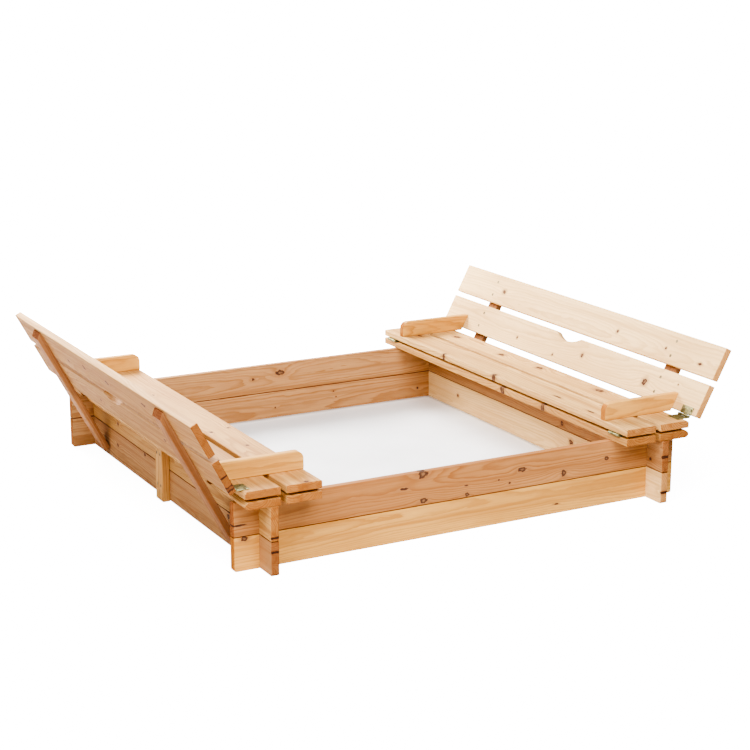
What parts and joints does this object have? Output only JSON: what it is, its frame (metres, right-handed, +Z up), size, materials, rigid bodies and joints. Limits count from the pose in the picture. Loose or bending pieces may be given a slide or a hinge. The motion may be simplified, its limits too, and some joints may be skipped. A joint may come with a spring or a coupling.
{
  "type": "sandbox with folding cover",
  "caption": "Square wooden sandbox whose hinged two-part cover folds out into two benches with armrests and leaning backrests.",
  "frame": {"origin": "on the ground, at the centre of the box", "axes": "+X to the right from bench to bench, +Y to the back along the benches, +Z up"},
  "size_m": [1.4014, 1.184, 0.3613],
  "materials": {
    "bench_wood": "planed natural fir, matt, with knots",
    "wall_wood": "planed natural fir, warmer tone, matt, with knots",
    "batten_wood": "planed natural fir, matt",
    "hinge_zinc": "yellow-passivated zinc plate, satin",
    "screw_steel": "zinc-plated steel, dull",
    "sheet_cloth": "thin white non-woven ground cloth"
  },
  "bodies": {
    "frame": {"front_wall_lower": "wall_wood", "front_wall_upper": "wall_wood", "back_wall_lower": "wall_wood", "back_wall_upper": "wall_wood", "left_wall_lower": "wall_wood", "left_wall_upper": "wall_wood", "right_wall_lower": "wall_wood", "right_wall_upper": "wall_wood", "left_wall_post": "wall_wood", "right_wall_post": "wall_wood", "ground_sheet": "sheet_cloth", "left_outer_fixed_board": "bench_wood", "left_inner_fixed_board": "bench_wood", "right_outer_fixed_board": "bench_wood", "right_inner_fixed_board": "bench_wood", "left_frame_screws": "screw_steel", "right_frame_screws": "screw_steel", "left_fold_frame_leaves": "hinge_zinc", "right_fold_frame_leaves": "hinge_zinc", "left_fold_pins": "screw_steel", "right_fold_pins": "screw_steel", "left_fold_frame_leaf_screws": "screw_steel", "right_fold_frame_leaf_screws": "screw_steel"},
    "left_seat": {"left_inner_seat_board": "bench_wood", "left_outer_seat_board": "bench_wood", "left_front_armrest": "bench_wood", "left_back_armrest": "bench_wood", "left_seat_screws": "screw_steel", "left_fold_seat_leaves": "hinge_zinc", "left_tilt_seat_leaves": "hinge_zinc", "left_tilt_pins": "screw_steel", "left_seat_leaf_screws": "screw_steel"},
    "left_backrest": {"left_lower_back_board": "bench_wood", "left_upper_back_board": "bench_wood", "left_front_batten": "batten_wood", "left_back_batten": "batten_wood", "left_back_screws": "screw_steel", "left_tilt_back_leaves": "hinge_zinc", "left_back_leaf_screws": "screw_steel"},
    "right_seat": {"right_inner_seat_board": "bench_wood", "right_outer_seat_board": "bench_wood", "right_front_armrest": "bench_wood", "right_back_armrest": "bench_wood", "right_seat_screws": "screw_steel", "right_fold_seat_leaves": "hinge_zinc", "right_tilt_seat_leaves": "hinge_zinc", "right_tilt_pins": "screw_steel", "right_seat_leaf_screws": "screw_steel"},
    "right_backrest": {"right_lower_back_board": "bench_wood", "right_upper_back_board": "bench_wood", "right_front_batten": "batten_wood", "right_back_batten": "batten_wood", "right_back_screws": "screw_steel", "right_tilt_back_leaves": "hinge_zinc", "right_back_leaf_screws": "screw_steel"}
  },
  "joints": [
    {"name": "left_seat_fold", "type": "hinge", "parent": "frame", "child": "left_seat", "pos_m": [-0.3945, 0, 0.1764], "axis": [0, 1, 0], "range_deg": [0, 180]},
    {"name": "left_backrest_tilt", "type": "hinge", "parent": "left_seat", "child": "left_backrest", "pos_m": [-0.591, 0, 0.1994], "axis": [0, 1, 0], "range_deg": [-62, 0]},
    {"name": "right_seat_fold", "type": "hinge", "parent": "frame", "child": "right_seat", "pos_m": [0.3945, 0, 0.1764], "axis": [0, -1, 0], "range_deg": [0, 180]},
    {"name": "right_backrest_tilt", "type": "hinge", "parent": "right_seat", "child": "right_backrest", "pos_m": [0.591, 0, 0.1994], "axis": [0, -1, 0], "range_deg": [-62, 0]}
  ],
  "couplings": [
    {"joint": "left_backrest_tilt", "follows": "left_seat_fold", "ratio": -0.34444},
    {"joint": "right_backrest_tilt", "follows": "right_seat_fold", "ratio": -0.34444}
  ]
}
